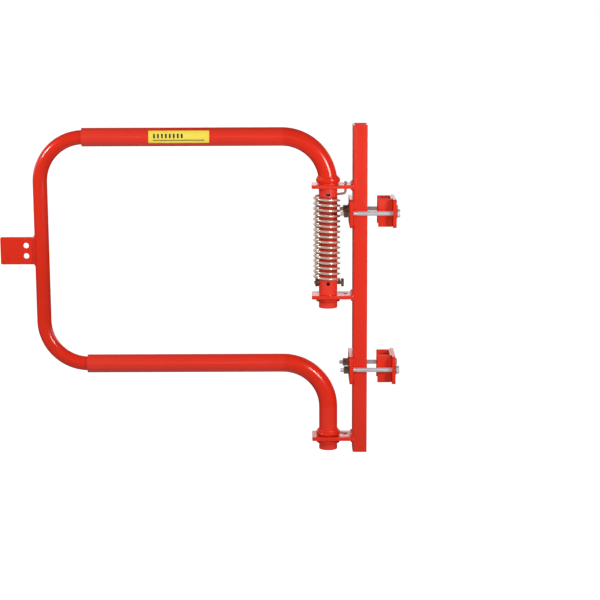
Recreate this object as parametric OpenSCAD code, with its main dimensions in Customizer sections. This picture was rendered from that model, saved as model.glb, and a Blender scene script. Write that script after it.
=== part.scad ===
// Self-closing guard rail gate, adjustable in width, that clamps to a round
// rail post. Millimetres. The origin is on the axis of the rail post, half way
// between the two clamps. +X points away from the opening that the gate closes,
// +Z points up, and the gate swings open towards -Y.

/* [Gate] */
// Distance from the hinge axis to the upright of the sliding frame, closed up
gate_reach = 517.4; // [500:0.1:560]
// Distance between the centre lines of the upper and lower arm
arm_spacing = 414.4; // [408:0.1:420]
// Height of the upper arm's centre line above the origin
upper_arm_z = 277.9; // [276:0.1:282]
// Length of each sleeve, from its open mouth to the hinge axis
sleeve_reach = 439.9; // [430:0.1:440]
// How far the sliding frame's arms reach into the sleeves when closed up
insert_len = 330; // [280:1:335]

/* [Tubes] */
// Outer diameter of the sleeve tube
sleeve_od = 33.4; // [33:0.05:34]
// Wall thickness of the sleeve tube
sleeve_wall = 3.38; // [3:0.02:3.5]
// Gap all round between the sleeve and the tube that slides in it
slide_gap = 0.42; // [0.3:0.02:0.6]
// Wall thickness of the sliding frame's tube
frame_wall = 2.1; // [1.6:0.1:2.6]
// Radius of the sleeve's bend, on its centre line
sleeve_bend_r = 83; // [78:1:88]
// Radius of the sliding frame's bends, on their centre line
frame_bend_r = 80; // [74:1:82]

/* [Hinge] */
// Distance from the rail post's axis to the hinge axis
hinge_x = 79.7; // [79:0.1:82]
// Heights of the hinge plates' middles
plate_zs = [189.4, -11.3, -275.4]; // [-290:0.1:200]
// Thickness of a hinge plate
plate_t = 6.35; // [5:0.05:7]
// How far a hinge plate reaches past the hinge axis
plate_end = 29.5; // [27:0.5:31]
// Gap all round between a hinge hole and the tube that turns in it
hinge_gap = 0.1; // [0.05:0.01:0.2]
// Outer diameter of the hinge collars
collar_od = 43.5; // [43:0.5:46]

/* [Spring] */
// Diameter of the spring's wire
wire_d = 4.6; // [4:0.1:4.8]
// Mean diameter of the spring's coil
coil_d = 45.4; // [45:0.1:46]
// Rise of the coil in one turn
coil_pitch = 9.52; // [9:0.01:9.6]

/* [Rail clamp] */
// Distance between the two clamps
clamp_pitch = 286; // [280:1:292]
// Length of the channel that forms the hinge post
post_len = 599.5; // [596:0.5:606]
// Outer width of the channel, across its web
channel_w = 50.8; // [50:0.1:52]
// Outer depth of the channel, along its flanges
channel_flange = 25.85; // [25:0.05:25.85]
// Thickness of the channel
channel_t = 3.175; // [2.5:0.005:3.5]
// Distance from the rail post's axis to the outside of a channel's web
web_x = 35.35; // [35.35:0.05:36]
// Thickness of the plates that the clamp bolts pull together
ear_t = 6.35; // [5:0.05:7]
// Height of those plates
ear_h = 50.8; // [46:0.1:54]
// Length of those plates, from front to back
ear_len = 92; // [90:1:96]
// Distance between the front and the back clamp bolt
bolt_spacing = 66; // [64:0.5:70]
// Diameter of the clamp bolts
bolt_d = 7.94; // [7:0.01:8]
// Length of the clamp bolts under the head
bolt_len = 101.6; // [100:0.1:104]

/* [Strike tab] */
// Length of the tab, from the upright's centre line
tab_len = 75; // [65:0.5:85]
// Height of the tab's middle above the origin
tab_z = 73; // [68:0.5:76]
// Height of the tab from edge to edge
tab_h = 50; // [44:1:56]
// Thickness of the tab
tab_t = 4.8; // [4:0.1:6]
// Distance from the upright's centre line to the tab's holes
tab_hole_x = 28.5; // [26:0.5:34]
// Distance between the tab's two holes
tab_hole_pitch = 19; // [17:0.5:22]
// Diameter of the tab's holes
tab_hole_d = 10; // [8:0.5:11]

/* [Hidden] */
$fn = 96;
eps = 0.01;
paint = "firebrick";
zinc = "silver";
yellow_zinc = "goldenrod";

// Places that follow from the driving dimensions
lower_arm_z = upper_arm_z - arm_spacing;
upright_x = -hinge_x - gate_reach;
mouth_x = -hinge_x - sleeve_reach;
clamp_z = clamp_pitch / 2;
sleeve_r = sleeve_od / 2;
sleeve_bore_r = sleeve_r - sleeve_wall;
frame_r = sleeve_bore_r - slide_gap;
frame_bore_r = frame_r - frame_wall;
hinge_hole_r = sleeve_r + hinge_gap;

// The upper arm stops inside the upper collar, where the spindle takes over
seat_z = 200.5;
upper_leg_bottom = 164;
spindle_bottom = -33;
lower_leg_bottom = -298.6;

// The collars, which keep a small gap from the faces of the hinge plates
face_gap = 0.3;
collar_r = collar_od / 2;
upper_hub_r = 19.2;
upper_rim_bottom = 194.4;
upper_rim_h = 11.5;
middle_collar_h = 6.6;
middle_collar_z = plate_zs[1] - plate_t / 2 - face_gap - middle_collar_h;
lower_collar_top_h = 8.8;
lower_collar_h = 7.5;
lower_collar_z = plate_zs[2] - plate_t / 2 - face_gap - lower_collar_h;
set_screw_d = 4;
set_screw_len = 4.6;
set_screw_gap = 0.2;

// Holes through the spindle, and the spring's hole in each hinge plate
drill_zs = [174.3, 12.7];
drill_d = 7;
spring_hole_x = -48.3;
spring_hole_d = 7;

// The spring hangs a little off the hinge axis, because it is loose on the spindle
coil_x = -hinge_x - 2.5;
coil_r = coil_d / 2;
wire_r = wire_d / 2;
wire_sides = 8;
steps_per_turn = 16;
hook_z = 175.5;
hook_tip_z = 197;
hook_corner = 6;
coil_bottom_z = 20.3;
leave_angle = acos(coil_r / (spring_hole_x - coil_x));
spring_bolt_z = drill_zs[1];
spring_bolt_d = 6;
spring_bolt_head_x = coil_x + coil_r + wire_r + 1.1;
spring_bolt_len = 49;
spring_nut_t = 5.5;
spring_head_t = 5;
spring_af = 13;
spring_washer_t = 1.2;
spring_washer_d = 14;
spring_nut_x = spring_bolt_head_x - spring_bolt_len + 2;

// The spring's lower end lies over its bolt and turns down behind it
catch_x = coil_x + coil_r;
catch_y = 8;
catch_z = spring_bolt_z + spring_bolt_d / 2 + wire_r + 0.2;
catch_bend = 5;

// Sizes of the 5/16 inch clamp hardware
bolt_af = 12.7;
head_t = 5.3;
nut_t = 6.8;
washer_t = 1.6;
washer_d = 18;
lock_washer_t = 2;
lock_washer_d = 13.6;
thread_gap = 0.08;
bolt_hole_d = 9;
corner_r = 4;
ear_x = web_x + ear_t;
head_x = ear_x + washer_t;
nut_x = -ear_x - washer_t - lock_washer_t;

// Sizes of the width locks on the back of the sleeves
lock_inset = 25;
lock_d = 8;
lock_af = 13;
lock_nut_out = 23.3;
lock_screw_len = 16;
lock_head_t = 5.3;

// The label on the front of the upper sleeve
label_from = -399.3;
label_len = 108;
label_angle = 80;
label_tilt = 5;
label_t = 0.25;
label_gap = 0.05;

// Cylinder along X from x0 to x1
module rod_x(x0, x1, r) {
    translate([x0, 0, 0]) rotate([0, 90, 0]) cylinder(r = r, h = x1 - x0);
}

// Cylinder along Y from y0 to y1
module rod_y(y0, y1, r) {
    translate([0, y0, 0]) rotate([-90, 0, 0]) cylinder(r = r, h = y1 - y0);
}

// Hexagonal bar along Z, given across its flats
module hex_bar(af, h) {
    cylinder(d = af / cos(30), h = h, $fn = 6);
}

// Ring along X
module ring_x(x0, x1, r_out, r_in) {
    difference() {
        rod_x(x0, x1, r_out);
        rod_x(x0 - 1, x1 + 1, r_in);
    }
}

// Solid outline of an arm: from its mouth along X at z, then bent down to run along
// the hinge axis. Both ends reach over by the last argument.
module arm_solid(z, tube_r, leg_bottom, over) {
    bend_x = -hinge_x - sleeve_bend_r;
    translate([0, 0, z]) rod_x(mouth_x - over, bend_x, tube_r);
    translate([bend_x, 0, z - sleeve_bend_r]) rotate([90, 0, 0])
        rotate_extrude(angle = 90) translate([sleeve_bend_r, 0]) circle(r = tube_r);
    translate([-hinge_x, 0, leg_bottom - over])
        cylinder(r = tube_r, h = z - sleeve_bend_r - leg_bottom + over);
}

module arm_tube(z, leg_bottom) {
    difference() {
        arm_solid(z, sleeve_r, leg_bottom, 0);
        arm_solid(z, sleeve_bore_r, leg_bottom, 1);
        translate([mouth_x + lock_inset, 0, z]) rod_y(0, sleeve_r + 1, lock_d / 2 + 0.2);
    }
}

module upper_arm() {
    cut_size = 2 * sleeve_bend_r;
    color(paint) difference() {
        arm_tube(upper_arm_z, upper_leg_bottom);
        translate([-hinge_x - sleeve_od, -cut_size / 2, seat_z - cut_size])
            cube([cut_size, cut_size, cut_size]);
    }
}

module lower_arm() { color(paint) arm_tube(lower_arm_z, lower_leg_bottom); }

module hinge_spindle() {
    color(paint) difference() {
        translate([-hinge_x, 0, spindle_bottom]) cylinder(r = sleeve_r, h = seat_z - spindle_bottom);
        translate([-hinge_x, 0, spindle_bottom - 1])
            cylinder(r = sleeve_bore_r, h = seat_z - spindle_bottom + 2);
        for (z = drill_zs) translate([-hinge_x, 0, z]) {
            rod_y(-sleeve_r - 1, sleeve_r + 1, drill_d / 2);
            rod_x(-sleeve_r - 1, sleeve_r + 1, drill_d / 2);
        }
    }
}

// Collar with its rims rounded to rim_r, from z0 up, bored for the hinge tube
module collar(z0, h, rim_r) {
    translate([-hinge_x, 0, z0]) rotate_extrude() difference() {
        union() {
            translate([sleeve_r, 0]) square([collar_r - rim_r - sleeve_r, h]);
            translate([sleeve_r, rim_r]) square([collar_r - sleeve_r, h - 2 * rim_r]);
            for (y = [rim_r, h - rim_r]) translate([collar_r - rim_r, y]) circle(r = rim_r);
        }
        translate([0, -1]) square([sleeve_r, h + 2]);
    }
}

// Narrow hub that runs on the upper hinge plate, with a wide rim on it
module upper_collar() {
    hub_bottom = plate_zs[0] + plate_t / 2 + face_gap;
    color(paint) difference() {
        union() {
            collar(upper_rim_bottom, upper_rim_h, 4.6);
            translate([-hinge_x, 0, hub_bottom])
                cylinder(r = upper_hub_r, h = upper_rim_bottom - hub_bottom + 1);
        }
        translate([-hinge_x, 0, hub_bottom - 1]) cylinder(r = sleeve_r, h = seat_z - hub_bottom + 1);
        arm_solid(upper_arm_z, sleeve_r, upper_leg_bottom, 0);
    }
}

// Retaining collar with a hole for its set screw at the back
module set_collar(z0, h) {
    color(paint) difference() {
        collar(z0, h, 2);
        translate([-hinge_x, 0, z0 + h / 2]) rod_y(0, collar_r + 1, set_screw_d / 2 + 0.02);
    }
}

module middle_collar() { set_collar(middle_collar_z, middle_collar_h); }

module lower_collar_bottom() { set_collar(lower_collar_z, lower_collar_h); }

module lower_collar_top() {
    color(paint) collar(plate_zs[2] + plate_t / 2 + face_gap, lower_collar_top_h, 3);
}

// The screws stop just short of the hinge tube's wall
module collar_set_screws() {
    color("dimgray") for (z = [middle_collar_z + middle_collar_h / 2, lower_collar_z + lower_collar_h / 2])
        translate([-hinge_x, 0, z]) difference() {
            rod_y(sleeve_r + set_screw_gap, sleeve_r + set_screw_gap + set_screw_len, set_screw_d / 2);
            translate([0, sleeve_r + set_screw_gap + set_screw_len - 2, 0])
                rotate([-90, 0, 0]) hex_bar(2, 3);
        }
}

// Flat plate welded to the post: the hinge tube turns in its large hole, and the
// spring hooks into its small one
module hinge_plate(z) {
    plate_x0 = -hinge_x - plate_end;
    color(paint) difference() {
        translate([0, 0, z - plate_t / 2]) linear_extrude(plate_t) union() {
            translate([plate_x0 + corner_r, -channel_w / 2])
                square([-web_x - plate_x0 - corner_r, channel_w]);
            translate([plate_x0, -channel_w / 2 + corner_r])
                square([corner_r + 1, channel_w - 2 * corner_r]);
            for (s = [-1, 1]) translate([plate_x0 + corner_r, s * (channel_w / 2 - corner_r)])
                circle(r = corner_r);
        }
        translate([-hinge_x, 0, z - plate_t]) cylinder(r = hinge_hole_r, h = 2 * plate_t);
        translate([spring_hole_x, 0, z - plate_t]) cylinder(d = spring_hole_d, h = 2 * plate_t);
    }
}

// Channel section, open towards the origin, with its web at -web_x
module channel_profile() {
    difference() {
        union() {
            translate([-web_x + corner_r, -channel_w / 2]) square([channel_flange - corner_r, channel_w]);
            translate([-web_x, -channel_w / 2 + corner_r]) square([corner_r + 1, channel_w - 2 * corner_r]);
            for (s = [-1, 1]) translate([-web_x + corner_r, s * (channel_w / 2 - corner_r)])
                circle(r = corner_r);
        }
        translate([-web_x + channel_t, -channel_w / 2 + channel_t])
            square([channel_flange, channel_w - 2 * channel_t]);
    }
}

module hinge_post() {
    color(paint) translate([0, 0, -post_len / 2]) linear_extrude(post_len) channel_profile();
}

module saddle(z) {
    color(paint) translate([0, 0, z - channel_w / 2]) linear_extrude(channel_w)
        mirror([1, 0]) channel_profile();
}

// Plate across the back of a channel, drilled for the two clamp bolts
module ear_plate(z, x0) {
    ear_corner = 8;
    color(paint) translate([x0, 0, z]) difference() {
        rotate([90, 0, 90]) linear_extrude(ear_t) union() {
            square([ear_len - 2 * ear_corner, ear_h], center = true);
            square([ear_len, ear_h - 2 * ear_corner], center = true);
            for (y = [-1, 1], v = [-1, 1])
                translate([y * (ear_len / 2 - ear_corner), v * (ear_h / 2 - ear_corner)])
                    circle(r = ear_corner);
        }
        for (s = [-1, 1]) translate([0, s * bolt_spacing / 2, 0])
            rod_x(-1, ear_t + 1, bolt_hole_d / 2);
    }
}

// Puts its children at the front and at the back bolt of the clamp at height z
module at_bolts(z) {
    for (s = [-1, 1]) translate([0, s * bolt_spacing / 2, z]) children();
}

module clamp_bolts(z) {
    color(zinc) at_bolts(z) {
        rod_x(head_x - bolt_len, head_x + eps, bolt_d / 2);
        translate([head_x, 0, 0]) rotate([0, 90, 0]) hex_bar(bolt_af, head_t);
    }
}

module clamp_nuts(z) {
    color(yellow_zinc) at_bolts(z) difference() {
        translate([nut_x - nut_t, 0, 0]) rotate([0, 90, 0]) hex_bar(bolt_af, nut_t);
        rod_x(nut_x - nut_t - 1, nut_x + 1, bolt_d / 2 + thread_gap);
    }
}

module clamp_washers(z, x0, thickness, d) {
    color(yellow_zinc) at_bolts(z) ring_x(x0, x0 + thickness, d / 2, bolt_d / 2 + 0.2);
}

module upper_backing_plate() { ear_plate(clamp_z, -ear_x); }
module lower_backing_plate() { ear_plate(-clamp_z, -ear_x); }
module upper_saddle_plate() { ear_plate(clamp_z, web_x); }
module lower_saddle_plate() { ear_plate(-clamp_z, web_x); }

// Points of the spring's wire, from the hook above the upper hinge plate down to
// the catch on the spring bolt. Going down, the coil turns from its tangent point
// at leave_angle through the back, the left and the front.
full_turns = 15 + (360 - leave_angle) / 360;
coil_steps = round(full_turns * steps_per_turn);
coil_top_z = coil_bottom_z + full_turns * coil_pitch;
function coil_point(i) =
    let (turn = i / coil_steps * full_turns, a = leave_angle + turn * 360)
    [coil_x + coil_r * cos(a), coil_r * sin(a), coil_top_z - turn * coil_pitch];
function mix(a, b, t) = a + (b - a) * t;
function corner_point(a, b, c, t) = mix(mix(a, b, t), mix(b, c, t), t);
hook_corner_point = [spring_hole_x, 0, hook_z];
hook_start = coil_point(0);
hook_in = hook_corner_point
    + (hook_start - hook_corner_point) * hook_corner / norm(hook_start - hook_corner_point);
hook_up = hook_corner_point + [0, 0, hook_corner];
catch_in = [catch_x, catch_y - catch_bend, catch_z];
catch_corner = [catch_x, catch_y, catch_z];
catch_down = [catch_x, catch_y, catch_z - catch_bend];
wire_points = concat(
    [[spring_hole_x, 0, hook_tip_z]],
    [for (i = [0 : 5]) corner_point(hook_up, hook_corner_point, hook_in, i / 5)],
    [mix(hook_in, hook_start, 0.5)],
    [for (i = [0 : coil_steps - 1]) coil_point(i)],
    [[catch_x, -1.5, catch_z + 0.6]],
    [for (i = [0 : 5]) corner_point(catch_in, catch_corner, catch_down, i / 5)],
    [[catch_x, catch_y, catch_z - 10]]
);

function unit(v) = v / norm(v);
function tangent(pts, i) = unit(pts[min(i + 1, len(pts) - 1)] - pts[max(i - 1, 0)]);
// One ring of the swept wire, square to the path, with its first axis away from the coil's axis
function ring(pts, i, r, sides) =
    let (
        t = tangent(pts, i),
        away = [pts[i][0] - coil_x, pts[i][1], 0],
        v = unit(away - (away * t) * t),
        u = cross(t, v)
    )
    [for (k = [0 : sides - 1]) pts[i] + r * (cos(k * 360 / sides) * v + sin(k * 360 / sides) * u)];

module swept_wire(pts, r, sides) {
    n = len(pts);
    polyhedron(
        points = [for (i = [0 : n - 1]) each ring(pts, i, r, sides)],
        faces = concat(
            [[for (k = [0 : sides - 1]) k]],
            [for (i = [0 : n - 2], k = [0 : sides - 1])
                let (a = i * sides + k, b = i * sides + (k + 1) % sides)
                [a, a + sides, b + sides, b]],
            [[for (k = [sides - 1 : -1 : 0]) (n - 1) * sides + k]]
        )
    );
}

module torsion_spring() { color(zinc) swept_wire(wire_points, wire_r, wire_sides); }

module spring_bolt() {
    color(yellow_zinc) translate([0, 0, spring_bolt_z]) {
        rod_x(spring_bolt_head_x - spring_bolt_len, spring_bolt_head_x + eps, spring_bolt_d / 2);
        translate([spring_bolt_head_x, 0, 0]) rotate([0, 90, 0]) hex_bar(spring_af, spring_head_t);
    }
}

module spring_nut() {
    color(yellow_zinc) translate([0, 0, spring_bolt_z]) difference() {
        translate([spring_nut_x, 0, 0]) rotate([0, 90, 0]) hex_bar(spring_af, spring_nut_t);
        rod_x(spring_nut_x - 1, spring_nut_x + spring_nut_t + 1, spring_bolt_d / 2 + thread_gap);
    }
}

module spring_washers() {
    x0 = spring_nut_x + spring_nut_t;
    color(yellow_zinc) translate([0, 0, spring_bolt_z])
        ring_x(x0, x0 + spring_washer_t, spring_washer_d / 2, spring_bolt_d / 2 + 0.2);
}

// Outline of the sliding frame's tube: two arms joined by an upright
module frame_solid(r, over) {
    tip_x = mouth_x + insert_len;
    for (z = [upper_arm_z, lower_arm_z]) translate([0, 0, z])
        rod_x(upright_x + frame_bend_r, tip_x + over, r);
    translate([upright_x, 0, lower_arm_z + frame_bend_r])
        cylinder(r = r, h = arm_spacing - 2 * frame_bend_r);
    translate([upright_x + frame_bend_r, 0, upper_arm_z - frame_bend_r]) rotate([90, 0, 0])
        rotate([0, 0, 90]) rotate_extrude(angle = 90) translate([frame_bend_r, 0]) circle(r = r);
    translate([upright_x + frame_bend_r, 0, lower_arm_z + frame_bend_r]) rotate([90, 0, 0])
        rotate([0, 0, 180]) rotate_extrude(angle = 90) translate([frame_bend_r, 0]) circle(r = r);
}

module sliding_frame() {
    color(paint) difference() {
        frame_solid(frame_r, 0);
        frame_solid(frame_bore_r, 1);
    }
}

// Plate that stops against the post on the far side, coped to the upright
module strike_tab() {
    tab_corner = 3;
    tab_x0 = upright_x - tab_len;
    color(paint) difference() {
        translate([0, tab_t / 2, tab_z]) rotate([90, 0, 0]) linear_extrude(tab_t) union() {
            translate([tab_x0 + tab_corner, -tab_h / 2]) square([tab_len - tab_corner, tab_h]);
            translate([tab_x0, -tab_h / 2 + tab_corner]) square([tab_len, tab_h - 2 * tab_corner]);
            for (s = [-1, 1]) translate([tab_x0 + tab_corner, s * (tab_h / 2 - tab_corner)])
                circle(r = tab_corner);
        }
        translate([upright_x, 0, tab_z - tab_h]) cylinder(r = frame_r, h = 2 * tab_h);
        for (s = [-1, 1]) translate([upright_x - tab_hole_x, 0, tab_z + s * tab_hole_pitch / 2])
            rod_y(-tab_t, tab_t, tab_hole_d / 2);
    }
}

module label() {
    r0 = sleeve_r + label_gap;
    color("gold") translate([label_from, 0, upper_arm_z]) rotate([0, 90, 0])
        rotate([0, 0, -90 - label_angle / 2 - label_tilt]) rotate_extrude(angle = label_angle)
            translate([r0, 0]) square([label_t, label_len]);
}

// Nut welded on the back of a sleeve, shaped to sit on it
module lock_nut(z) {
    color(paint) translate([mouth_x + lock_inset, 0, z]) difference() {
        translate([0, sleeve_r - 3, 0]) rotate([-90, 0, 0]) hex_bar(lock_af, lock_nut_out - sleeve_r + 3);
        rod_x(-lock_af, lock_af, sleeve_r);
        rod_y(0, lock_nut_out + 1, lock_d / 2 + thread_gap);
    }
}

// Screw that presses the sliding frame's tube against the sleeve
module lock_screw(z) {
    tip_y = frame_r + 0.3;
    color(zinc) translate([mouth_x + lock_inset, 0, z]) {
        rod_y(tip_y, tip_y + lock_screw_len + eps, lock_d / 2);
        translate([0, tip_y + lock_screw_len, 0]) rotate([-90, 0, 0]) hex_bar(lock_af, lock_head_t);
    }
}

hinge_post();
hinge_plate(plate_zs[0]);  // hinge_plate_upper
hinge_plate(plate_zs[1]);  // hinge_plate_middle
hinge_plate(plate_zs[2]);  // hinge_plate_lower
upper_arm();
lower_arm();
hinge_spindle();
upper_collar();
middle_collar();
lower_collar_top();
lower_collar_bottom();
collar_set_screws();
torsion_spring();
spring_bolt();
spring_washers();
spring_nut();
sliding_frame();
strike_tab();
label();
lock_nut(upper_arm_z);  // upper_lock_nut
lock_screw(upper_arm_z);  // upper_lock_screw
lock_nut(lower_arm_z);  // lower_lock_nut
lock_screw(lower_arm_z);  // lower_lock_screw
upper_backing_plate();
lower_backing_plate();
saddle(clamp_z);  // upper_saddle
saddle(-clamp_z);  // lower_saddle
upper_saddle_plate();
lower_saddle_plate();
clamp_bolts(clamp_z);  // upper_clamp_bolts
clamp_bolts(-clamp_z);  // lower_clamp_bolts
clamp_washers(clamp_z, ear_x, washer_t, washer_d);  // upper_head_washers
clamp_washers(-clamp_z, ear_x, washer_t, washer_d);  // lower_head_washers
clamp_washers(clamp_z, -ear_x - washer_t, washer_t, washer_d);  // upper_flat_washers
clamp_washers(-clamp_z, -ear_x - washer_t, washer_t, washer_d);  // lower_flat_washers
clamp_washers(clamp_z, nut_x, lock_washer_t, lock_washer_d);  // upper_lock_washers
clamp_washers(-clamp_z, nut_x, lock_washer_t, lock_washer_d);  // lower_lock_washers
clamp_nuts(clamp_z);  // upper_clamp_nuts
clamp_nuts(-clamp_z);  // lower_clamp_nuts
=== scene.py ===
"""Looks of the self-closing guard rail gate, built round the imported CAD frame. Metres."""
import math

import bmesh
import bpy
from mathutils import Matrix, Quaternion, Vector


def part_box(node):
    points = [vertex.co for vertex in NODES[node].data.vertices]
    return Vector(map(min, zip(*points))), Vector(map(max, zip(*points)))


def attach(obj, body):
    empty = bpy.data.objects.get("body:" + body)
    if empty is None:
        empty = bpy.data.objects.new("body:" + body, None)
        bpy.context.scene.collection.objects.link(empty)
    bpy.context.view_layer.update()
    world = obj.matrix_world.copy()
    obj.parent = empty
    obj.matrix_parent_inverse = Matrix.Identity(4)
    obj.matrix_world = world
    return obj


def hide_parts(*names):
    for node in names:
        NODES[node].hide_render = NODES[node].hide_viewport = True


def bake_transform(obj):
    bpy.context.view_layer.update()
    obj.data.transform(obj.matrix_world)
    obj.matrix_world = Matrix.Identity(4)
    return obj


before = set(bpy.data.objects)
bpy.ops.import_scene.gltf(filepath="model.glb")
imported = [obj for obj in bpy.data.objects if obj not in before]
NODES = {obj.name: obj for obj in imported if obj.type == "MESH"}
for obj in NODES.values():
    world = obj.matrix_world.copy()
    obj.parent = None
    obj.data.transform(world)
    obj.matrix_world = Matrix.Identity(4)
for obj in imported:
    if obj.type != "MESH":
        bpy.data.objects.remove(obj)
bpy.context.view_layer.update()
MM = 0.001
TAU = 2 * math.pi

# ---------------------------------------------------------------- camera and light

# fitted to the photograph's straight edges
TARGET = Vector((-0.1308, 0.0, -0.0198))
PITCH = math.radians(10.8)
ROLL = math.radians(-0.213)
DISTANCE = 3.0394
LENS = 100.2

scene = bpy.context.scene
scene.view_settings.view_transform = "Standard"
camera = bpy.data.objects.new("camera", bpy.data.cameras.new("camera"))
scene.collection.objects.link(camera)
camera.data.sensor_width = 36
camera.data.lens = LENS
camera.location = TARGET + DISTANCE * Vector((0, -math.cos(PITCH), math.sin(PITCH)))
camera.rotation_mode = "QUATERNION"
camera.rotation_quaternion = ((TARGET - camera.location).to_track_quat("-Z", "Y")
                              @ Quaternion((0, 0, 1), ROLL))
camera.data.clip_start, camera.data.clip_end = 0.01, 100
scene.camera = camera


def area_light(name, place, aim, size, power, size_y=None):
    """A soft box at a place, turned towards a point."""
    data = bpy.data.lights.new(name, "AREA")
    data.energy = power
    data.size = size
    if size_y:
        data.shape = "RECTANGLE"
        data.size_y = size_y
    light = bpy.data.objects.new(name, data)
    scene.collection.objects.link(light)
    light.location = place
    light.rotation_mode = "QUATERNION"
    light.rotation_quaternion = (Vector(aim) - Vector(place)).to_track_quat("-Z", "Y")
    return light


area_light("soft_box_right", (0.60, -0.95, 0.33), (-0.25, 0, 0), 0.16, 7.4, 0.30)
area_light("soft_box_left", (-1.55, -0.60, 0.80), (-0.35, 0, 0), 0.22, 9.0, 0.22)
# these two even out the front and the back without a streak along the level tubes
area_light("soft_box_front", (-0.35, -3.0, 0.55), (-0.3, 0, 0), 0.8, 31.0).visible_glossy = False
area_light("soft_box_back", (0.25, 3.0, 0.45), (-0.3, 0, 0), 0.8, 16.0).visible_glossy = False


def world_light():
    """White to the camera; to the object a dim room with a bright strip low behind it."""
    world = bpy.data.worlds.new("studio")
    scene.world = world
    world.use_nodes = True
    tree = world.node_tree
    tree.nodes.clear()

    def add(kind, **values):
        node = tree.nodes.new(kind)
        for key, value in values.items():
            node.inputs[key.replace("_", " ")].default_value = value
        return node

    def heights(stops):
        """Strength by height over the horizon: -1 is the ground, 1 the zenith."""
        node = tree.nodes.new("ShaderNodeValToRGB")
        element = node.color_ramp.elements
        while len(element) < len(stops):
            element.new(0.5)
        for e, (at, value) in zip(element, stops):
            e.position = (at + 1) / 2
            e.color = (value, value, value, 1)
        tree.links.new(level.outputs["Result"], node.inputs[0])
        return node.outputs[0]

    place = tree.nodes.new("ShaderNodeTexCoord")
    split = tree.nodes.new("ShaderNodeSeparateXYZ")
    tree.links.new(place.outputs["Generated"], split.inputs[0])
    level = add("ShaderNodeMapRange", From_Min=-1, From_Max=1)
    tree.links.new(split.outputs["Z"], level.inputs["Value"])
    behind = add("ShaderNodeMapRange", From_Min=-0.1, From_Max=0.5)
    tree.links.new(split.outputs["Y"], behind.inputs["Value"])
    side = tree.nodes.new("ShaderNodeMix")
    side.data_type = "RGBA"
    front, back = [s for s in side.inputs if s.type == "RGBA"]
    tree.links.new(behind.outputs["Result"], [s for s in side.inputs if s.name == "Factor"][0])
    tree.links.new(heights([(-1, 0.32), (-0.5, 0.22), (0, 0.18), (0.5, 0.18), (1, 0.12)]), front)
    tree.links.new(heights([(-1, 0.60), (-0.88, 0.55), (-0.7, 0.05), (-0.05, 0.04),
                            (0.09, 1.6), (0.28, 1.5), (0.42, 0.08), (1, 0.12)]), back)
    room = add("ShaderNodeBackground")
    tree.links.new([s for s in side.outputs if s.type == "RGBA"][0], room.inputs["Color"])
    seen = add("ShaderNodeBackground", Color=(1, 1, 1, 1))
    path = tree.nodes.new("ShaderNodeLightPath")
    mix = tree.nodes.new("ShaderNodeMixShader")
    out = tree.nodes.new("ShaderNodeOutputWorld")
    tree.links.new(path.outputs["Is Camera Ray"], mix.inputs[0])
    tree.links.new(room.outputs[0], mix.inputs[1])
    tree.links.new(seen.outputs[0], mix.inputs[2])
    tree.links.new(mix.outputs[0], out.inputs[0])


world_light()

# ---------------------------------------------------------------- materials


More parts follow.
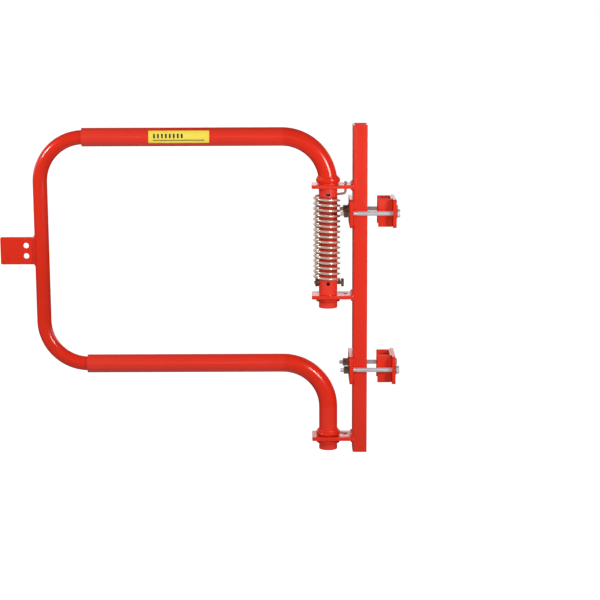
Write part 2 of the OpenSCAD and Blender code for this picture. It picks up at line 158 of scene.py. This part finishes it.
class Nodes:
    """A material's node tree, with short calls for the nodes used here."""

    def __init__(self, name):
        self.material = bpy.data.materials.new(name)
        self.material.use_nodes = True
        self.tree = self.material.node_tree
        self.shader = self.tree.nodes["Principled BSDF"]
        self.coord = self.tree.nodes.new("ShaderNodeTexCoord").outputs["Object"]

    def link(self, a, b):
        self.tree.links.new(a, b)

    def scaled(self, scale):
        """Object coordinates stretched by a scale for each axis."""
        node = self.tree.nodes.new("ShaderNodeMapping")
        node.inputs["Scale"].default_value = scale
        self.link(self.coord, node.inputs["Vector"])
        return node.outputs[0]

    def noise(self, scale, detail=3.0, roughness=0.55, source=None):
        node = self.tree.nodes.new("ShaderNodeTexNoise")
        node.inputs["Scale"].default_value = scale
        node.inputs["Detail"].default_value = detail
        node.inputs["Roughness"].default_value = roughness
        self.link(source or self.coord, node.inputs["Vector"])
        return node.outputs["Fac"]

    def ramp(self, value, stops):
        """Colour ramp through (position, colour) stops."""
        node = self.tree.nodes.new("ShaderNodeValToRGB")
        element = node.color_ramp.elements
        while len(element) < len(stops):
            element.new(0.5)
        for e, (at, color) in zip(element, stops):
            e.position = at
            e.color = (*color, 1)
        self.link(value, node.inputs[0])
        return node.outputs[0]

    def span(self, value, low, high, from_min=0.0, from_max=1.0):
        """Maps a value to run from low to high."""
        node = self.tree.nodes.new("ShaderNodeMapRange")
        node.inputs["From Min"].default_value = from_min
        node.inputs["From Max"].default_value = from_max
        node.inputs["To Min"].default_value = low
        node.inputs["To Max"].default_value = high
        self.link(value, node.inputs["Value"])
        return node.outputs["Result"]

    def math(self, kind, a, b=None):
        node = self.tree.nodes.new("ShaderNodeMath")
        node.operation = kind
        for socket, value in zip(node.inputs, (a, b)):
            if value is None:
                continue
            if isinstance(value, (int, float)):
                socket.default_value = value
            else:
                self.link(value, socket)
        return node.outputs[0]

    def mix(self, factor, a, b):
        node = self.tree.nodes.new("ShaderNodeMix")
        node.data_type = "RGBA"
        for key, value in (("Factor", factor), ("A", a), ("B", b)):
            sockets = [s for s in node.inputs if s.name == key]
            socket = sockets[0] if key == "Factor" else [s for s in sockets if s.type == "RGBA"][0]
            if isinstance(value, (int, float)):
                socket.default_value = value
            elif isinstance(value, tuple):
                socket.default_value = (*value, 1)
            else:
                self.link(value, socket)
        return [s for s in node.outputs if s.type == "RGBA"][0]

    def bump(self, height, strength, distance, under=None):
        node = self.tree.nodes.new("ShaderNodeBump")
        node.inputs["Strength"].default_value = strength
        node.inputs["Distance"].default_value = distance
        self.link(height, node.inputs["Height"])
        if under is not None:
            self.link(under, node.inputs["Normal"])
        return node.outputs[0]

    def pointiness(self):
        return self.tree.nodes.new("ShaderNodeNewGeometry").outputs["Pointiness"]

    def set(self, **sockets):
        """Sets the shader's sockets to values or to other nodes' outputs."""
        names = {"color": "Base Color", "rough": "Roughness", "metal": "Metallic", "normal": "Normal",
                 "coat": "Coat Weight", "coat_rough": "Coat Roughness"}
        for key, value in sockets.items():
            socket = self.shader.inputs[names[key]]
            if isinstance(value, (int, float)):
                socket.default_value = value
            elif isinstance(value, tuple):
                socket.default_value = (*value, 1)
            else:
                self.link(value, socket)
        return self.material


def red_paint(name="red_powder_coat", bore=None, shade_and_grime=None):
    """Powder coat. Inside the bore's radius round the hinge axis it is painted near black as shade in
    the hollow spindle, and between two heights it is darkened in patches: painted shade of the spring's
    coil, with its oil."""
    n = Nodes(name)
    tone = n.ramp(n.noise(9, 4), [(0.35, (0.72, 0.0185, 0.0030)), (0.65, (0.79, 0.0220, 0.0045))])
    edge = n.ramp(n.pointiness(), [(0.50, (0, 0, 0)), (0.62, (1, 1, 1))])
    tone = n.mix(edge, tone, (0.82, 0.045, 0.025))
    if bore:
        split = n.tree.nodes.new("ShaderNodeSeparateXYZ")
        n.link(n.coord, split.inputs[0])
        across = n.math("SUBTRACT", split.outputs["X"], HINGE_X)
        reach = n.math("ADD", n.math("MULTIPLY", across, across),
                       n.math("MULTIPLY", split.outputs["Y"], split.outputs["Y"]))
        # painted shade: between the two heights the spindle is darkened in patches under the spring's
        # coil, with its oil
        if shade_and_grime:
            under = n.math("MULTIPLY", n.span(split.outputs["Z"], 0, 1, shade_and_grime[0], shade_and_grime[0] + 0.004),
                           n.span(split.outputs["Z"], 1, 0, shade_and_grime[1] - 0.004, shade_and_grime[1]))
            patchy = n.math("MULTIPLY", under, n.span(n.noise(45, 3), 0.70, 1.0, 0.3, 0.7))
            tone = n.mix(patchy, tone, (0.33, 0.022, 0.014))
        # painted shade: inside the bore's radius, which is the inside of the hollow spindle, the paint
        # goes near black
        tone = n.mix(n.math("LESS_THAN", reach, bore * bore), tone, (0.035, 0.012, 0.010))
    normal = n.bump(n.noise(620, 2, 0.4), 0.04, 0.0002, n.bump(n.noise(150, 2, 0.5), 0.06, 0.0004))
    return n.set(color=tone, rough=n.span(n.noise(60, 4), 0.16, 0.25), normal=normal)


def bright_zinc():
    n = Nodes("bright_zinc")
    streak = n.noise(90, 4, 0.6, n.scaled((0.12, 1, 1)))
    tint = n.ramp(n.noise(55, 3), [(0.35, (0.80, 0.80, 0.88)), (0.55, (0.88, 0.87, 0.90)),
                                   (0.72, (0.86, 0.81, 0.86))])
    return n.set(color=tint, metal=0.56, rough=n.span(streak, 0.24, 0.36),
                 normal=n.bump(streak, 0.08, 0.0001))


def yellow_zinc():
    n = Nodes("yellow_zinc")
    tint = n.ramp(n.noise(130, 4, 0.6), [(0.30, (0.24, 0.17, 0.10)), (0.5, (0.46, 0.37, 0.24)),
                                         (0.70, (0.44, 0.41, 0.30))])
    # painted shade with grime: the fasteners' concave creases, found by low pointiness, go near black
    shade_and_grime = n.ramp(n.pointiness(), [(0.44, (0.10, 0.08, 0.06)), (0.52, (1, 1, 1))])
    return n.set(color=n.mix(shade_and_grime, (0.02, 0.015, 0.01), tint), metal=1.0,
                 rough=n.span(n.noise(300, 3), 0.24, 0.38))


def spring_wire():
    n = Nodes("spring_wire")
    draw = n.noise(240, 4, 0.6, n.scaled((1, 1, 5)))
    tint = n.ramp(n.noise(40, 3), [(0.35, (0.95, 0.70, 0.57)), (0.65, (0.99, 0.80, 0.67))])
    return n.set(color=tint, metal=0.66, rough=n.span(draw, 0.20, 0.28),
                 normal=n.bump(draw, 0.03, 0.0001))


def black_oxide():
    n = Nodes("black_oxide")
    tint = n.ramp(n.noise(400, 3), [(0.4, (0.025, 0.025, 0.028)), (0.7, (0.06, 0.06, 0.062))])
    return n.set(color=tint, metal=0.7, rough=0.45)


HINGE_X = -0.0797  # the hinge axis
SLEEVE_R = 0.0167  # outside radius of the sleeves and of the hinge spindle
PAINT = red_paint()
# the spindle's paint holds painted shade in its bore and under the spring's coil
SPINDLE_PAINT = red_paint("red_powder_coat_spindle", SLEEVE_R - 0.0005, (0.021, 0.172))
ZINC = bright_zinc()
YELLOW = yellow_zinc()
WIRE = spring_wire()
BLACK = black_oxide()

# ---------------------------------------------------------------- mesh helpers


def finish_mesh(name, bm, material, body, node=None, sharp=32):
    """Turns a bmesh into a piece that rides on a body and may stand for a CAD node."""
    bmesh.ops.remove_doubles(bm, verts=bm.verts, dist=1e-6)
    bmesh.ops.recalc_face_normals(bm, faces=bm.faces)
    mesh = bpy.data.meshes.new(name)
    bm.to_mesh(mesh)
    bm.free()
    for p in mesh.polygons:
        p.use_smooth = True
    mesh.set_sharp_from_angle(angle=math.radians(sharp))
    mesh.materials.append(material)
    piece = bpy.data.objects.new(name, mesh)
    scene.collection.objects.link(piece)
    if body:
        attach(piece, body)
    if node:
        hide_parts(node)
    return piece


def skin(bm, rings, loop=False):
    """Joins rings of points, all with the same count, into a closed surface or into a loop."""
    made = [[bm.verts.new(p) for p in ring] for ring in rings]
    pairs = list(zip(made, made[1:])) + ([(made[-1], made[0])] if loop else [])
    for a, b in pairs:
        for i in range(len(a)):
            j = (i + 1) % len(a)
            quad = []
            for v in (a[i], a[j], b[j], b[i]):
                if v not in quad:
                    quad.append(v)
            bm.faces.new(quad)
    if not loop:
        bm.faces.new(list(reversed(made[0])))
        bm.faces.new(made[-1])


def along_x(points):
    """Turns a ring made round Z into one round X: Z becomes X."""
    return [Vector((p[2], p[1], -p[0])) for p in points]


def hex_radius(angle, flats, corner_r):
    """Distance from the axis to a hexagon's side at an angle, cut to a round of corner_r."""
    a = (angle + math.pi / 6) % (math.pi / 3) - math.pi / 6
    return min(flats / 2 / math.cos(a), corner_r)


def hex_rings(flats, z0, z1, chamfer0, chamfer1, turn, steps=72):
    """Rings of a chamfered hexagon from z0 to z1. A chamfer is how far the round cuts down."""
    big = flats / 2 / math.cos(math.pi / 6)
    rings = []
    heights = []
    for c, z, s in ((chamfer0, z0, 1), (chamfer1, z1, -1)):
        side = [(z, big)]
        if c:
            side = [(z + s * c * t, big - (1 - t) * c * 1.9) for t in (0, 0.25, 0.5, 0.75, 1)]
        heights += side if s == 1 else list(reversed(side))
    for z, cut in heights:
        rings.append([(hex_radius(TAU * i / steps, flats, cut) * math.cos(TAU * i / steps + turn),
                       hex_radius(TAU * i / steps, flats, cut) * math.sin(TAU * i / steps + turn), z)
                      for i in range(steps)])
    return rings


def round_ring(r, z, steps=72):
    return [(r * math.cos(TAU * i / steps), r * math.sin(TAU * i / steps), z) for i in range(steps)]


def thread_rings(r, z0, z1, pitch, steps):
    """Rings of a helical thread from z0 to z1, faded at the inner end and chamfered at z0, the tip."""
    depth, per_pitch = 0.6 * pitch, 8
    count = int((z1 - z0) / pitch * per_pitch)
    rings = []
    for k in range(count + 1):
        z = z0 + (z1 - z0) * k / count
        ring = []
        for i in range(steps):
            a = TAU * i / steps
            phase = (z / pitch - i / steps) % 1
            cut = abs(phase - 0.5) * 2
            fade = min(1.0, (z1 - z) / (2 * pitch))
            tip = max(0.0, 1 - (z - z0) / pitch) * depth
            radius = min(r - depth * (1 - cut) * fade, r - tip)
            ring.append((radius * math.cos(a), radius * math.sin(a), z))
        rings.append(ring)
    return rings


def bolt_mesh(bm, r, tip, head0, head1, flats, thread_to, pitch, place, turn):
    """A hex bolt along X at (y, z) place: threaded from its tip, head from head0 to head1."""
    steps = 36
    rings = thread_rings(r, tip, thread_to, pitch, steps)
    rings += [round_ring(r, thread_to + 0.2 * MM, steps), round_ring(r, head0 + 0.3 * MM, steps)]
    shift = Vector((0, *place))
    skin(bm, [[p + shift for p in along_x(ring)] for ring in rings])
    washer_face = [round_ring(flats * 0.47, head0), round_ring(flats * 0.47, head0 + 0.3 * MM)]
    skin(bm, [[p + shift for p in along_x(ring)] for ring in washer_face])
    head = hex_rings(flats, head0 + 0.25 * MM, head1, 0, 0.7 * MM, turn)
    inner = [round_ring(flats * 0.40, head1), round_ring(flats * 0.36, head1 - 0.15 * MM)]
    skin(bm, [[p + shift for p in along_x(ring)] for ring in head + inner])


def nut_mesh(bm, r, z0, z1, flats, place, turn):
    """A hex nut along X with both ends chamfered and countersunk round its bore."""
    outer = hex_rings(flats, z0, z1, 0.8 * MM, 0.8 * MM, turn)
    sink = 0.7 * MM
    bore = [round_ring(r + sink, z1), round_ring(r, z1 - sink),
            round_ring(r, z0 + sink), round_ring(r + sink, z0)]
    shift = Vector((0, *place))
    skin(bm, [[p + shift for p in along_x(ring)] for ring in outer + bore], loop=True)


def washer_mesh(bm, r_in, r_out, x0, x1, place, split=False):
    """A flat washer along X with soft rims, or a split lock washer whose ends stand apart."""
    soft = 0.25 * MM
    profile = [(r_in, x0 + soft), (r_in + soft, x0), (r_out - soft, x0), (r_out, x0 + soft),
               (r_out, x1 - soft), (r_out - soft, x1), (r_in + soft, x1), (r_in, x1 - soft)]
    steps, gap = 72, 0.10
    rings = []
    for i in range(steps + (1 if split else 0)):
        a = TAU * i / steps if not split else gap + (TAU - 2 * gap) * i / steps
        rings.append([Vector((x, place[0] + radius * math.sin(a), place[1] + radius * math.cos(a)))
                      for radius, x in profile])
    skin(bm, rings, loop=not split)


def frames_along(points, up):
    """A tangent, a side and an up direction at each point of a path."""
    result = []
    for i, p in enumerate(points):
        t = (points[min(i + 1, len(points) - 1)] - points[max(i - 1, 0)]).normalized()
        away = up(p)
        v = (away - away.dot(t) * t).normalized()
        result.append((t, v, t.cross(v)))
    return result


def smooth_path(points, step):
    """Even steps along straight runs between points."""
    out = [points[0]]
    for a, b in zip(points, points[1:]):
        n = max(1, round((b - a).length / step))
        out += [a.lerp(b, k / n) for k in range(1, n + 1)]
    return out


def weld_bead(bm, points, radius, up):
    """A row of overlapping weld ripples along a path, half sunk in the corner that it fills."""
    ripple = 2.6 * MM
    step = ripple / 6
    path = smooth_path([Vector(p) for p in points], step)
    sides = 14
    rings = []
    for k, (p, (t, v, u)) in enumerate(zip(path, frames_along(path, up))):
        phase = (k * step / ripple) % 1
        swell = 1 + 0.13 * math.sin(math.pi * phase) + 0.05 * math.sin(k * 0.37)
        end = min(1.0, (min(k, len(path) - 1 - k) + 1.2) / 7)
        r = radius * swell * math.sqrt(end)
        lean = 0.35 * radius * (phase - 0.5)
        rings.append([p + r * (math.cos(TAU * j / sides) * v + math.sin(TAU * j / sides) * u)
                      + t * lean * math.cos(TAU * j / sides) for j in range(sides)])
    skin(bm, rings)


def soft_edges(node, body, width):
    """Stands in for a painted CAD node with the same shape, its sharp edges rounded over."""
    bm = bmesh.new()
    bm.from_mesh(NODES[node].data)
    bmesh.ops.remove_doubles(bm, verts=bm.verts, dist=2e-6)
    bmesh.ops.dissolve_limit(bm, angle_limit=math.radians(1), verts=bm.verts, edges=bm.edges)
    sharp = [e for e in bm.edges if len(e.link_faces) == 2 and e.calc_face_angle(0) > math.radians(50)]
    bmesh.ops.bevel(bm, geom=sharp, offset=width, segments=3, profile=0.5, affect="EDGES",
                    clamp_overlap=True)
    bmesh.ops.triangulate(bm, faces=[f for f in bm.faces if len(f.verts) > 4])
    finish_mesh(node + "_body", bm, PAINT, body, node, sharp=40)


# ---------------------------------------------------------------- plates, channels and welds

UPRIGHT_X = -0.5971  # the axis of the sliding frame's upright
PLATES = {name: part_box(f"hinge_plate_{name}") for name in ("upper", "middle", "lower")}
POST_LOW, POST_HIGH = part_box("hinge_post")
WEB_X = POST_LOW.x

for name, body in (("hinge_post", "post"), ("upper_saddle", "upper_jaw"),
                   ("lower_saddle", "lower_jaw")):
    soft_edges(name, body, 0.7 * MM)
for name in PLATES:
    soft_edges(f"hinge_plate_{name}", "post", 1.5 * MM)
for side in ("upper", "lower"):
    soft_edges(f"{side}_backing_plate", "post", 0.8 * MM)
    soft_edges(f"{side}_saddle_plate", f"{side}_jaw", 0.8 * MM)
soft_edges("strike_tab", "slider", 0.6 * MM)


def finish_welds(name, bm, body):
    finish_mesh(name, bm, PAINT, body, sharp=70)


def plate_welds():
    """Beads over and under each hinge plate, carried round its front and back ends."""
    bm = bmesh.new()
    edge = POST_HIGH.y - 2.2 * MM
    for low, high in PLATES.values():
        x = WEB_X - 0.6 * MM
        top, bottom = high.z + 0.9 * MM, low.z - 0.9 * MM
        for z in (top, bottom):
            weld_bead(bm, [(x, -edge, z), (x, edge, z)], 3.0 * MM, lambda p: Vector((-1, 0, 0)))
        for y in (-edge - 0.4 * MM, edge + 0.4 * MM):
            weld_bead(bm, [(x + 0.8 * MM, y, top + 1.2 * MM), (x + 0.8 * MM, y, bottom - 1.2 * MM)],
                      2.6 * MM, lambda p: Vector((-1, 0, 0)))
    finish_welds("hinge_plate_welds", bm, "post")


plate_welds()


def clamp_welds():
    """Beads that hold the ear plates on the post and on the saddles."""
    for side in ("upper", "lower"):
        for node, body, x_dir in ((f"{side}_backing_plate", "post", 1),
                                  (f"{side}_saddle_plate", f"{side}_jaw", -1)):
            low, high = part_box(node)
            x = (high.x if x_dir == 1 else low.x) + 2 * MM * x_dir
            bm = bmesh.new()
            for y in (-POST_HIGH.y - 0.3 * MM, POST_HIGH.y + 0.3 * MM):
                weld_bead(bm, [(x, y, low.z + 3 * MM), (x, y, high.z - 3 * MM)], 2.4 * MM,
                          lambda p: Vector((x_dir, 0, 0)))
            finish_welds(f"{node}_welds", bm, body)


clamp_welds()


def ring_weld(bm, centre, radius, z, bead):
    """A level ring of weld round the line X = centre, Y = 0."""
    points = [(centre + radius * math.cos(TAU * i / 64), radius * math.sin(TAU * i / 64), z)
              for i in range(65)]
    weld_bead(bm, points, bead, lambda p: Vector((0, 0, 1)))


def collar_welds():
    """Beads where the upper arm and the lower arm are welded to their collars."""
    bm = bmesh.new()
    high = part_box("upper_collar")[1]
    ring_weld(bm, HINGE_X - 0.5 * MM, SLEEVE_R + 0.6 * MM, high.z - 0.4 * MM, 1.7 * MM)
    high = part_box("lower_collar_top")[1]
    ring_weld(bm, HINGE_X, SLEEVE_R + 0.8 * MM, high.z + 0.1 * MM, 1.8 * MM)
    finish_welds("collar_welds", bm, "gate")


collar_welds()


def tab_welds():
    """Beads down both faces of the strike tab, where it meets the upright."""
    low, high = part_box("strike_tab")
    x = UPRIGHT_X - 12.4 * MM
    bm = bmesh.new()
    for y, s in ((low.y, -1), (high.y, 1)):
        face = y + s * 0.8 * MM
        weld_bead(bm, [(x, face, low.z - 1 * MM), (x, face, high.z + 1 * MM)], 2.3 * MM,
                  lambda p: Vector((-1, s, 0)))
    for z in (low.z - 0.4 * MM, high.z + 0.4 * MM):
        weld_bead(bm, [(x + 0.3 * MM, low.y - 1 * MM, z), (x + 0.3 * MM, high.y + 1 * MM, z)], 2.6 * MM,
                  lambda p: Vector((-1, 0, 0)))
    finish_welds("tab_welds", bm, "slider")


tab_welds()

# ---------------------------------------------------------------- spring

# the spring's sizes and places are in mm
COIL_X, COIL_R, WIRE_R = -82.2, 22.7, 2.3
HOLE_X, HOOK_Z, HOOK_TIP_Z, HOOK_CORNER = -48.3, 175.5, 197.0, 6.0
COIL_LOW_Z, COIL_PITCH = 20.3, 9.52
# the catch rests on the cross bolt, whose axis is at 12.7 and whose radius is 3
CATCH_X, CATCH_Y, CATCH_Z, CATCH_BEND = COIL_X + COIL_R, 8.0, 12.7 + 3 + WIRE_R + 0.2, 5.0


def rounded(a, b, c, count):
    """Points of a round from a to c, bent at b."""
    return [a.lerp(b, t / count).lerp(b.lerp(c, t / count), t / count) for t in range(count + 1)]


def spring_path():
    """The wire's centre line, from its hook in the upper hinge plate down to its catch, in mm."""
    leave = math.acos(COIL_R / (HOLE_X - COIL_X))
    turns = 16 - leave / TAU
    steps = round(turns * 48)
    top = COIL_LOW_Z + turns * COIL_PITCH

    def coil(i):
        turn = i / steps * turns
        a = leave + turn * TAU
        return Vector((COIL_X + COIL_R * math.cos(a), COIL_R * math.sin(a), top - turn * COIL_PITCH))

    corner = Vector((HOLE_X, 0, HOOK_Z))
    start = coil(0)
    hook_in = corner + (start - corner).normalized() * HOOK_CORNER
    hook_up = corner + Vector((0, 0, HOOK_CORNER))
    points = [Vector((HOLE_X, 0, HOOK_TIP_Z)), Vector((HOLE_X, 0, 190.0))]
    points += rounded(hook_up, corner, hook_in, 12)
    points += [hook_in.lerp(start, t / 6) for t in range(1, 6)]
    points += [coil(i) for i in range(steps)]
    catch_in = Vector((CATCH_X, CATCH_Y - CATCH_BEND, CATCH_Z))
    last = coil(steps - 1)
    points += [last.lerp(catch_in, t / 5) for t in range(1, 5)]
    points += rounded(catch_in, Vector((CATCH_X, CATCH_Y, CATCH_Z)),
                      Vector((CATCH_X, CATCH_Y, CATCH_Z - CATCH_BEND)), 12)
    points += [Vector((CATCH_X, CATCH_Y, CATCH_Z - 10))]
    return points


def spring():
    """The round wire, which twists between the post and the gate."""
    path = spring_path()
    sides = 20
    bm = bmesh.new()
    rings = []
    frames = frames_along(path, lambda p: Vector((p.x - COIL_X, p.y, 0.01)))
    for p, (_, v, u) in zip(path, frames):
        rings.append([(p + WIRE_R * (math.cos(TAU * j / sides) * v + math.sin(TAU * j / sides) * u)) * MM
                      for j in range(sides)])
    # a chamfered tip on both ends of the wire
    for end, out in ((0, -1), (-1, 1)):
        at, t = path[end], frames[end][0] * out
        tip = [((Vector(q) / MM - at) * 0.72 + at + t * 0.7) * MM for q in rings[end]]
        rings = [tip] + rings if end == 0 else rings + [tip]
    skin(bm, rings)
    piece = finish_mesh("torsion_spring_coil", bm, WIRE, None, sharp=50)
    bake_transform(piece)
    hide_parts("torsion_spring")


spring()

# ---------------------------------------------------------------- fasteners

BOLT_R, BOLT_FLATS, BOLT_Y = 3.97 * MM, 12.7 * MM, 33 * MM  # the clamp bolts, in front and behind
CROSS_R, CROSS_FLATS = 3 * MM, 13 * MM  # the bolt through the spindle that holds the spring
LOCK_R, LOCK_FLATS = 4 * MM, 13 * MM  # the screws that hold the width


def clamp_fasteners(side):
    """A clamp's two bolts with nuts and washers. The front one of each pair stands for the node."""
    low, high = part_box(f"{side}_clamp_bolts")
    nuts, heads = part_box(f"{side}_clamp_nuts"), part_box(f"{side}_head_washers")
    z = (low.z + high.z) / 2
    for end, y, turn in (("front", -BOLT_Y, 0.35), ("back", BOLT_Y, 0.9)):

        def finish(part, bm, material, body):
            finish_mesh(f"{side}_{end}_{part}", bm, material, body,
                        f"{side}_{part}s" if end == "front" else None)

        bm = bmesh.new()
        bolt_mesh(bm, BOLT_R, low.x, heads[1].x, high.x, BOLT_FLATS, low.x + 30 * MM, 1.41 * MM,
                  (y, z), turn)
        finish("clamp_bolt", bm, ZINC, f"{side}_jaw")
        bm = bmesh.new()
        nut_mesh(bm, BOLT_R + 0.05 * MM, nuts[0].x, nuts[1].x, BOLT_FLATS, (y, z), turn + 0.3)
        finish("clamp_nut", bm, YELLOW, "post")
        for part, r_out, body in (("lock_washer", 6.8 * MM, "post"), ("flat_washer", 9 * MM, "post"),
                                  ("head_washer", 9 * MM, f"{side}_jaw")):
            near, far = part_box(f"{side}_{part}s")
            bm = bmesh.new()
            washer_mesh(bm, BOLT_R + 0.2 * MM, r_out, near.x, far.x, (y, z), part == "lock_washer")
            finish(part, bm, YELLOW, body)


def cross_bolt():
    """The small bolt, nut and washer through the spindle, which the spring's end bears on."""
    low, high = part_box("spring_bolt")
    nut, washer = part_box("spring_nut"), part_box("spring_washers")
    place = (0, (low.z + high.z) / 2)
    bm = bmesh.new()
    bolt_mesh(bm, CROSS_R, low.x, high.x - 5 * MM, high.x, CROSS_FLATS, low.x + 20 * MM, 1 * MM,
              place, 0.5)
    finish_mesh("spring_cross_bolt", bm, YELLOW, "gate", "spring_bolt")
    bm = bmesh.new()
    nut_mesh(bm, CROSS_R + 0.05 * MM, nut[0].x, nut[1].x, CROSS_FLATS, place, 0.2)
    finish_mesh("spring_cross_nut", bm, YELLOW, "gate", "spring_nut")
    bm = bmesh.new()
    washer_mesh(bm, CROSS_R + 0.2 * MM, 7 * MM, washer[0].x, washer[1].x, place)
    finish_mesh("spring_cross_washer", bm, YELLOW, "gate", "spring_washers")


def width_lock_screw(side):
    """The screw on the back of a sleeve. It is built along X at y = -x and turned about Z."""
    low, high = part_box(f"{side}_lock_screw")
    x, z = (low.x + high.x) / 2, (low.z + high.z) / 2
    bm = bmesh.new()
    bolt_mesh(bm, LOCK_R, low.y, high.y - 5.3 * MM, high.y, LOCK_FLATS, high.y - 6.5 * MM, 1.25 * MM,
              (-x, z), 0.4)
    bmesh.ops.transform(bm, matrix=Matrix.Rotation(math.pi / 2, 4, "Z"), verts=bm.verts)
    finish_mesh(f"{side}_width_lock_screw", bm, ZINC, "gate", f"{side}_lock_screw")


for side in ("upper", "lower"):
    clamp_fasteners(side)
cross_bolt()
for side in ("upper", "lower"):
    width_lock_screw(side)

# ---------------------------------------------------------------- label and remaining CAD nodes


def label_film():
    """A plain yellow film with a row of equal dark ticks and one thin rule, and no print."""
    n = Nodes("label_film")
    low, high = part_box("label")
    split = n.tree.nodes.new("ShaderNodeSeparateXYZ")
    n.link(n.coord, split.inputs[0])
    u = n.span(split.outputs["X"], 0, 1, low.x, high.x)
    v = n.span(split.outputs["Z"], 0, 1, low.z, high.z)

    def block(u0, u1, v0, v1):
        inside = n.math("MULTIPLY", n.math("GREATER_THAN", u, u0), n.math("LESS_THAN", u, u1))
        return n.math("MULTIPLY", inside,
                      n.math("MULTIPLY", n.math("GREATER_THAN", v, v0), n.math("LESS_THAN", v, v1)))

    tone = n.ramp(n.noise(30, 3), [(0.35, (0.97, 0.76, 0.08)), (0.65, (0.99, 0.83, 0.12))])
    ticks = [(0.08 + 0.065 * k, 0.11 + 0.065 * k, 0.40, 0.76) for k in range(8)]
    for u0, u1, v0, v1 in ticks + [(0.08, 0.92, 0.20, 0.27)]:
        tone = n.mix(block(u0, u1, v0, v1), tone, (0.035, 0.03, 0.03))
    return n.set(color=tone, rough=n.span(n.noise(200, 2), 0.28, 0.4), coat=0.3, coat_rough=0.2)


def repaint(node, material):
    """Gives a CAD node that keeps its shape a finished material."""
    data = NODES[node].data
    data.materials.clear()
    data.materials.append(material)


repaint("hinge_spindle", SPINDLE_PAINT)
for node in ("upper_arm", "lower_arm", "sliding_frame", "upper_collar", "middle_collar",
             "lower_collar_top", "lower_collar_bottom", "upper_lock_nut", "lower_lock_nut"):
    repaint(node, PAINT)
repaint("collar_set_screws", BLACK)
repaint("label", label_film())

# ---------------------------------------------------------------- floor

FLOOR_Z, FLOOR_HALF = -1.3, 45


def floor():
    """A plain pale floor under the gate, which hangs above it."""
    bm = bmesh.new()
    bmesh.ops.create_grid(bm, x_segments=1, y_segments=1, size=FLOOR_HALF)
    mesh = bpy.data.meshes.new("floor")
    bm.to_mesh(mesh)
    bm.free()
    piece = bpy.data.objects.new("floor", mesh)
    piece.location = (-0.3, 0, FLOOR_Z)
    scene.collection.objects.link(piece)
    n = Nodes("pale_floor")
    n.set(color=(0.8, 0.8, 0.8), rough=1.0)
    n.shader.inputs["Emission Color"].default_value = (1, 1, 1, 1)
    n.shader.inputs["Emission Strength"].default_value = 0.9
    mesh.materials.append(n.material)
    # the room's own light stands for the floor's reflection, so the floor only shows to the camera
    piece.visible_diffuse = piece.visible_glossy = False


floor()
